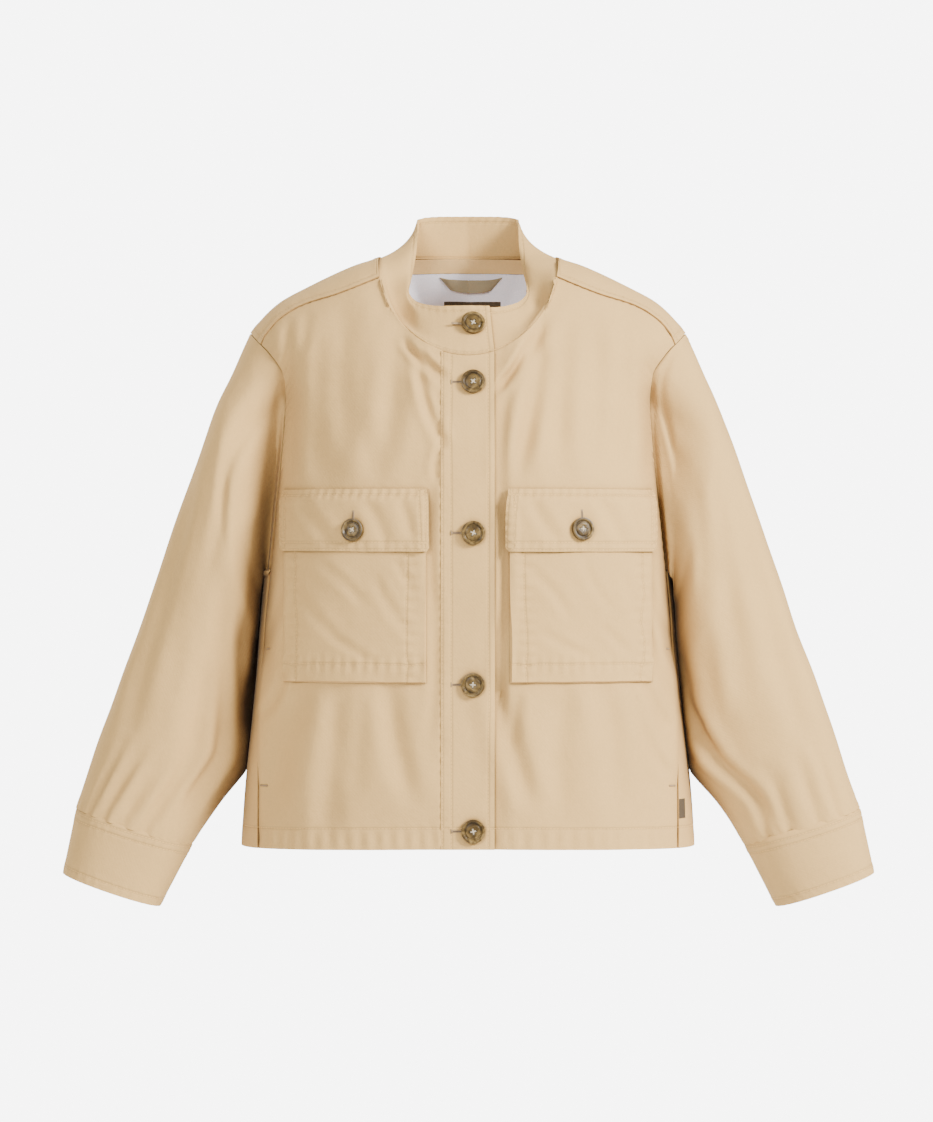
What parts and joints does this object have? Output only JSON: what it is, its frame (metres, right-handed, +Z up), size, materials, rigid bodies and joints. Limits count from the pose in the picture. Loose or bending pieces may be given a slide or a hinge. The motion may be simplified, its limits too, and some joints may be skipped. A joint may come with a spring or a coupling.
{
  "type": "field jacket",
  "caption": "Cropped stand-collar cotton field jacket, buttoned, filled out and hollow, with flap chest pockets, forward shoulder seams and turned cuffs.",
  "frame": {"origin": "between the shoulders at the base of the neck, where the wearer's shoulders carry the jacket", "axes": "+X towards the wearer's left sleeve, -Y out of the front, +Z up through the neck opening"},
  "size_m": [0.767, 0.2302, 0.6599],
  "materials": {
    "back": "brushed cotton twill",
    "front_right": "brushed cotton twill",
    "front_left": "brushed cotton twill",
    "placket": "brushed cotton twill, topstitched",
    "collar": "brushed cotton twill, topstitched",
    "sleeve_right": "brushed cotton twill",
    "sleeve_left": "brushed cotton twill",
    "cuff_right": "brushed cotton twill, topstitched",
    "cuff_left": "brushed cotton twill, topstitched",
    "pocket_right": "brushed cotton twill, topstitched",
    "pocket_left": "brushed cotton twill, topstitched",
    "flap_right": "brushed cotton twill, topstitched",
    "flap_left": "brushed cotton twill, topstitched",
    "neck_facing": "brushed cotton twill",
    "lining": "smooth pale lining",
    "hanger_loop": "folded self tape",
    "neck_label": "woven tape, blank",
    "side_tab": "woven tape, blank",
    "button_collar": "polished horn effect",
    "button_front_1": "polished horn effect",
    "button_front_2": "polished horn effect",
    "button_front_3": "polished horn effect",
    "button_front_4": "polished horn effect",
    "button_flap_right": "polished horn effect",
    "button_flap_left": "polished horn effect"
  },
  "bodies": {
    "root": {"back": "back", "front_right": "front_right", "front_left": "front_left", "placket": "placket", "collar": "collar", "sleeve_right": "sleeve_right", "sleeve_left": "sleeve_left", "cuff_right": "cuff_right", "cuff_left": "cuff_left", "pocket_right": "pocket_right", "pocket_left": "pocket_left", "flap_right": "flap_right", "flap_left": "flap_left", "neck_facing": "neck_facing", "lining": "lining", "hanger_loop": "hanger_loop", "neck_label": "neck_label", "side_tab": "side_tab", "button_collar": "button_collar", "button_front_1": "button_front_1", "button_front_2": "button_front_2", "button_front_3": "button_front_3", "button_front_4": "button_front_4", "button_flap_right": "button_flap_right", "button_flap_left": "button_flap_left"}
  },
  "joints": []
}
